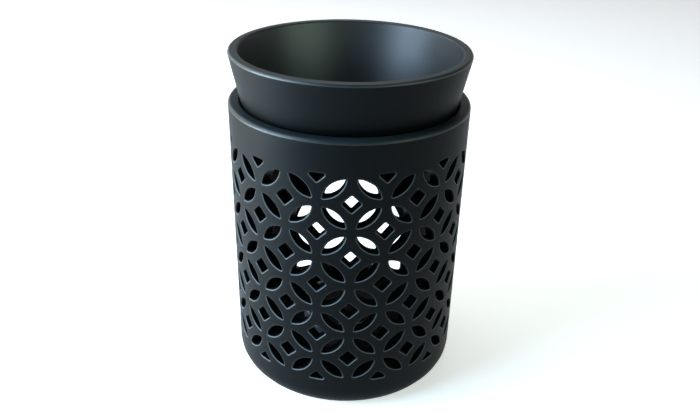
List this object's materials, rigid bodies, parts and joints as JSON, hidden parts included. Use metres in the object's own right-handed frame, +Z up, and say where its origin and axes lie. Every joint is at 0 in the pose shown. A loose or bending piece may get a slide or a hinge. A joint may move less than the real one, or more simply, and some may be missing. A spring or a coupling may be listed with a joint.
{
  "type": "oil burner",
  "caption": "Round ceramic oil burner: a straight body pierced with petals and diamonds, an arch at the back, a conical lift-off bowl and a tea light.",
  "frame": {"origin": "on the table, under the axis of the body", "axes": "+Z up along the body's axis; the pierced front faces -Y and the tea light's arch faces +Y"},
  "size_m": [0.095, 0.095, 0.1384],
  "materials": {
    "body_glaze": "satin",
    "bowl_glaze": "satin",
    "cup_aluminium": "satin",
    "tab_steel": "satin",
    "wax": "satin",
    "wick_cotton": "matte"
  },
  "bodies": {
    "burner": {"burner_body": "body_glaze"},
    "bowl": {"oil_bowl": "bowl_glaze"},
    "tealight": {"tealight_cup": "cup_aluminium", "wick_tab": "tab_steel", "tealight_wax": "wax", "tealight_wick": "wick_cotton"}
  },
  "joints": [
    {"name": "bowl_lift", "type": "slide", "parent": "burner", "child": "bowl", "axis": [0, 0, 1], "range_m": [0, 0.06]},
    {"name": "tealight_slide", "type": "slide", "parent": "burner", "child": "tealight", "axis": [0, 0.8944, 0.4472], "range_m": [0, 0.08]}
  ]
}
